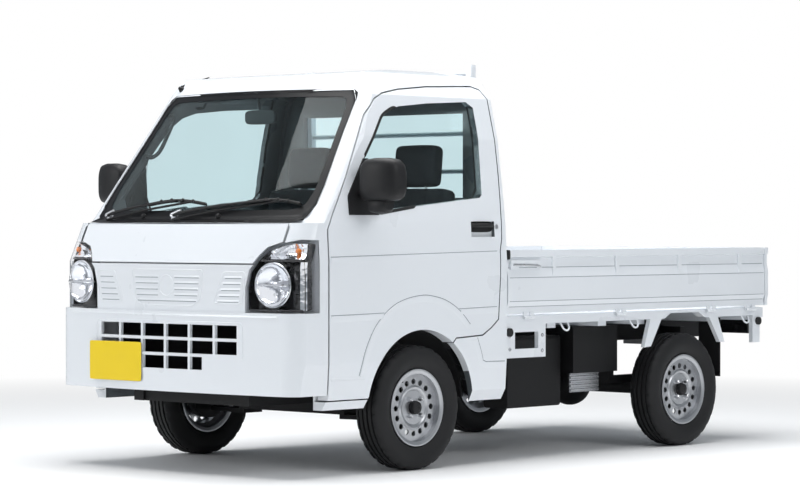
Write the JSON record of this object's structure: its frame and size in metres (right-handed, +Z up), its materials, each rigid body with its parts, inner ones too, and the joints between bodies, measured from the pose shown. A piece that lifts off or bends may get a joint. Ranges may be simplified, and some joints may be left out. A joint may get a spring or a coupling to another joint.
{
  "type": "kei truck",
  "caption": "Small forward-cab flatbed truck with rolling, steering wheels, opening doors and bonnet, and fold-down bed gates.",
  "frame": {"origin": "centre of the bounding box footprint, at the ground under the tyres", "axes": "+X to the truck's left, -Y to its front, +Z up"},
  "size_m": [1.87, 3.395, 1.7789],
  "materials": {
    "body_paint": "gloss",
    "chassis_black": "satin",
    "black_plastic": "matte",
    "glass": "clear",
    "lamp_lens": "clear",
    "lamp_inner": "polished",
    "tail_red": "gloss",
    "plate_yellow": "satin",
    "seat_fabric": "woven",
    "interior_plastic": "matte",
    "wheel_silver": "satin",
    "tyre_rubber": "matte",
    "stop_rubber": "matte",
    "cast_iron": "rough",
    "engine_metal": "rough"
  },
  "bodies": {
    "truck": {"cab_shell": "body_paint", "grille_panel": "body_paint", "front_bumper": "body_paint", "headlamp_lenses": "lamp_lens", "headlamp_housings": "lamp_inner", "cab_glass": "glass", "cowl_and_wipers": "black_plastic", "bed_deck": "body_paint", "bed_front": "body_paint", "gate_stops": "stop_rubber", "chassis_frame": "chassis_black", "engine_block": "engine_metal", "fuel_tank": "chassis_black", "battery_box": "black_plastic", "exhaust": "cast_iron", "front_suspension": "chassis_black", "rear_axle": "cast_iron", "splash_guards": "black_plastic", "tail_lamps": "tail_red", "number_plates": "plate_yellow", "dashboard": "interior_plastic", "seats": "seat_fabric", "cab_fittings": "black_plastic"},
    "bonnet": {"bonnet": "body_paint"},
    "door_left": {"door_shell_left": "body_paint", "door_glass_left": "glass", "door_fittings_left": "black_plastic"},
    "side_gate_left": {"side_gate_left": "body_paint"},
    "knuckle_left": {"knuckle_left": "cast_iron"},
    "front_wheel_left": {"rim_front_left": "wheel_silver", "tyre_front_left": "tyre_rubber"},
    "rear_wheel_left": {"rim_rear_left": "wheel_silver", "tyre_rear_left": "tyre_rubber"},
    "door_right": {"door_shell_right": "body_paint", "door_glass_right": "glass", "door_fittings_right": "black_plastic"},
    "side_gate_right": {"side_gate_right": "body_paint"},
    "knuckle_right": {"knuckle_right": "cast_iron"},
    "front_wheel_right": {"rim_front_right": "wheel_silver", "tyre_front_right": "tyre_rubber"},
    "rear_wheel_right": {"rim_rear_right": "wheel_silver", "tyre_rear_right": "tyre_rubber"},
    "tail_gate": {"tail_gate": "body_paint"},
    "steering_wheel": {"steering_wheel": "black_plastic"}
  },
  "joints": [
    {"name": "steer", "type": "hinge", "parent": "truck", "child": "steering_wheel", "pos_m": [-0.33, -1.1475, 1.01], "axis": [0, 0.6428, 0.766], "range_deg": [-600, 600]},
    {"name": "bonnet_hinge", "type": "hinge", "parent": "truck", "child": "bonnet", "pos_m": [0, -1.5865, 1.054], "axis": [-1, 0, 0], "range_deg": [0, 40]},
    {"name": "door_left_hinge", "type": "hinge", "parent": "truck", "child": "door_left", "pos_m": [0.726, -1.4245, 0.7], "axis": [0, 0, -1], "range_deg": [0, 65]},
    {"name": "side_gate_left_hinge", "type": "hinge", "parent": "truck", "child": "side_gate_left", "pos_m": [0.73, 0.6835, 0.643], "axis": [0, 1, 0], "range_deg": [0, 180]},
    {"name": "knuckle_left_pivot", "type": "hinge", "parent": "truck", "child": "knuckle_left", "pos_m": [0.55, -0.8705, 0.27], "axis": [0, 0, 1], "range_deg": [-35, 35]},
    {"name": "front_wheel_left_spin", "type": "hinge", "parent": "knuckle_left", "child": "front_wheel_left", "pos_m": [0.6525, -0.8705, 0.27], "axis": [1, 0, 0], "continuous": true},
    {"name": "rear_wheel_left_spin", "type": "hinge", "parent": "truck", "child": "rear_wheel_left", "pos_m": [0.645, 1.0345, 0.27], "axis": [1, 0, 0], "continuous": true},
    {"name": "door_right_hinge", "type": "hinge", "parent": "truck", "child": "door_right", "pos_m": [-0.726, -1.4245, 0.7], "axis": [0, 0, 1], "range_deg": [0, 65]},
    {"name": "side_gate_right_hinge", "type": "hinge", "parent": "truck", "child": "side_gate_right", "pos_m": [-0.73, 0.6835, 0.643], "axis": [0, -1, 0], "range_deg": [0, 180]},
    {"name": "knuckle_right_pivot", "type": "hinge", "parent": "truck", "child": "knuckle_right", "pos_m": [-0.55, -0.8705, 0.27], "axis": [0, 0, 1], "range_deg": [-35, 35]},
    {"name": "front_wheel_right_spin", "type": "hinge", "parent": "knuckle_right", "child": "front_wheel_right", "pos_m": [-0.6525, -0.8705, 0.27], "axis": [1, 0, 0], "continuous": true},
    {"name": "rear_wheel_right_spin", "type": "hinge", "parent": "truck", "child": "rear_wheel_right", "pos_m": [-0.645, 1.0345, 0.27], "axis": [1, 0, 0], "continuous": true},
    {"name": "tail_gate_hinge", "type": "hinge", "parent": "truck", "child": "tail_gate", "pos_m": [0, 1.69, 0.643], "axis": [-1, 0, 0], "range_deg": [0, 180]}
  ],
  "couplings": [
    {"joint": "knuckle_left_pivot", "follows": "steer", "ratio": 0.0583},
    {"joint": "knuckle_right_pivot", "follows": "steer", "ratio": 0.0583}
  ]
}
